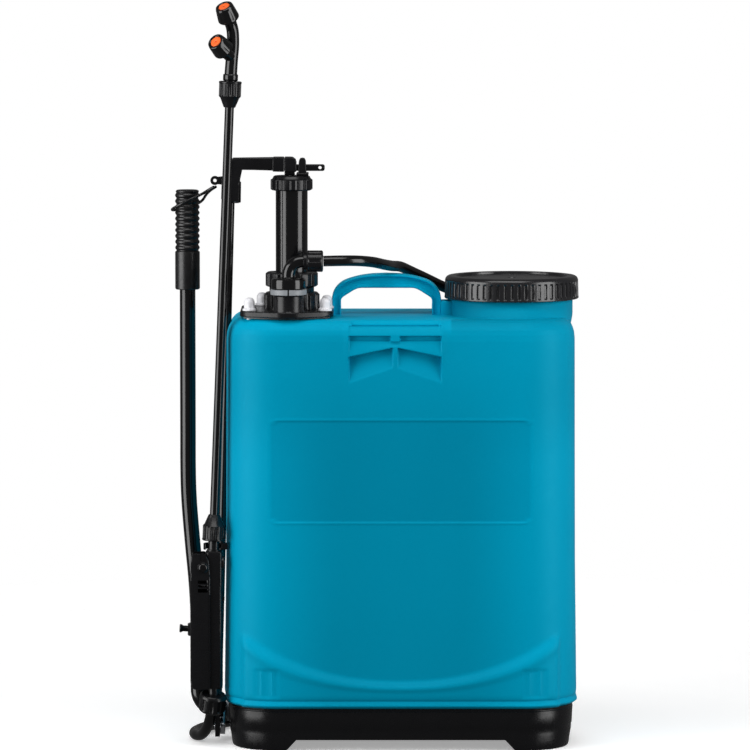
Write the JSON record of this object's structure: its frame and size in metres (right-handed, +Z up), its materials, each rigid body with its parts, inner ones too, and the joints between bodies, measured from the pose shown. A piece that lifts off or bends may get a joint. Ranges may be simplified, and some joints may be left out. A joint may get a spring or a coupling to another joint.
{
  "type": "backpack sprayer",
  "caption": "Lever-operated knapsack sprayer: blue tank with carrying handle and screw cap, side pump lever, stored spray lance with double nozzle, hose and harness.",
  "frame": {"origin": "centre of the footprint, on the surface that the feet stand on, without the free hose and the elastic loop", "axes": "+Z up, -Y towards the front panel, +Y towards the harness, +X to the right seen from the front"},
  "size_m": [0.4409, 0.2509, 0.8019],
  "materials": {
    "tank_plastic": "satin moulded",
    "black_plastic": "semi-gloss moulded",
    "black_gloss": "gloss",
    "rubber": "matt",
    "steel": "drawn",
    "black_steel": "gloss enamel",
    "white_plastic": "semi-gloss",
    "grey_plastic": "satin",
    "orange_plastic": "satin",
    "webbing": "woven",
    "pad_fabric": "padded weave",
    "strainer_plastic": "moulded",
    "hose_plastic": "semi-gloss"
  },
  "bodies": {
    "root": {"tank_shell": "tank_plastic", "base_skirt": "black_plastic", "shaft_bush_left": "grey_plastic", "shaft_bush_right": "grey_plastic", "pump_gasket": "rubber", "pump_flange": "black_plastic", "plate_screw_1": "white_plastic", "plate_screw_2": "white_plastic", "plate_screw_3": "white_plastic", "plate_screw_4": "white_plastic", "cylinder_nut": "black_plastic", "pump_cylinder": "black_gloss", "cylinder_top_nut": "black_plastic", "rod_guide": "black_plastic", "rod_seal": "rubber", "foot_valve_seat": "black_plastic", "suction_strainer": "strainer_plastic", "outlet_valve_cap": "black_plastic", "outlet_clip_ring": "grey_plastic", "outlet_elbow": "black_plastic", "hose_nut_top": "black_plastic", "strainer_basket": "strainer_plastic", "lance_tube": "black_steel", "lance_nut_lower": "black_plastic", "lance_nut_upper": "black_plastic", "nozzle_body": "black_plastic", "handle_body": "black_plastic", "hose_nut_bottom": "black_plastic", "trigger_screw": "steel", "valve_spring": "steel", "lance_clip": "black_plastic", "hose": "hose_plastic", "strap_left": "webbing", "strap_right": "webbing", "shoulder_pad_left": "pad_fabric", "shoulder_pad_right": "pad_fabric"},
    "lever": {"lever_tube": "black_steel", "lever_grip": "rubber", "lever_hook": "black_plastic", "crank_arm": "steel"},
    "crosshead": {"cross_arm": "black_plastic", "rod_head": "black_plastic", "piston_rod": "steel", "piston": "black_plastic", "piston_seal": "rubber", "pull_rod": "black_steel", "rod_foot": "black_plastic", "retaining_loop": "rubber"},
    "cap_seal": {"cap_gasket": "rubber", "vent_valve": "grey_plastic"},
    "cap": {"filler_cap": "black_plastic"},
    "spray_trigger": {"trigger": "black_plastic"},
    "spray_valve": {"valve_stem": "steel"},
    "upper_nozzle": {"nozzle_cap_upper": "black_plastic", "nozzle_tip_upper": "orange_plastic"},
    "lower_nozzle": {"nozzle_cap_lower": "black_plastic", "nozzle_tip_lower": "orange_plastic"},
    "inlet_ball": {"foot_valve_ball": "steel"},
    "outlet_ball": {"outlet_valve_ball": "steel"}
  },
  "joints": [
    {"name": "lever_swing", "type": "hinge", "parent": "root", "child": "lever", "pos_m": [-0.15, -0.003, 0.028], "axis": [-1, 0, 0], "range_deg": [0, 72], "deforming": ["retaining_loop"]},
    {"name": "crosshead_slide", "type": "slide", "parent": "root", "child": "crosshead", "axis": [0, 0, 1], "range_m": [0, 0.0447]},
    {"name": "cap_rise", "type": "slide", "parent": "root", "child": "cap_seal", "axis": [0, 0, 1], "range_m": [0, 0.0091]},
    {"name": "cap_turn", "type": "hinge", "parent": "cap_seal", "child": "cap", "pos_m": [0.146, -0.028, 0.49], "axis": [0, 0, 1], "range_deg": [0, 540]},
    {"name": "trigger_squeeze", "type": "hinge", "parent": "root", "child": "spray_trigger", "pos_m": [-0.1862, -0.088, 0.1952], "axis": [0, -1, 0], "range_deg": [0, 5.5], "stiffness_Nm_per_rad": 6, "springref_deg": -2.86},
    {"name": "valve_open", "type": "slide", "parent": "root", "child": "spray_valve", "axis": [1, 0, 0], "range_m": [0, 0.002], "deforming": ["valve_spring"]},
    {"name": "upper_nozzle_turn", "type": "hinge", "parent": "root", "child": "upper_nozzle", "pos_m": [-0.15217, -0.088, 0.76989], "axis": [-0.3076, -0.4795, 0.8219], "continuous": true},
    {"name": "lower_nozzle_turn", "type": "hinge", "parent": "root", "child": "lower_nozzle", "pos_m": [-0.1544, -0.088, 0.74096], "axis": [-0.499, -0.6608, 0.5607], "continuous": true},
    {"name": "inlet_ball_lift", "type": "slide", "parent": "root", "child": "inlet_ball", "axis": [0, 0, 1], "range_m": [0, 0.003]},
    {"name": "outlet_ball_lift", "type": "slide", "parent": "root", "child": "outlet_ball", "axis": [0, 0, 1], "range_m": [0, 0.003]}
  ],
  "couplings": [
    {"joint": "crosshead_slide", "follows": "lever_swing", "m_per_rad": 0.0355},
    {"joint": "cap_rise", "follows": "cap_turn", "m_per_rad": 0.000955},
    {"joint": "valve_open", "follows": "trigger_squeeze", "m_per_rad": 0.0202}
  ]
}
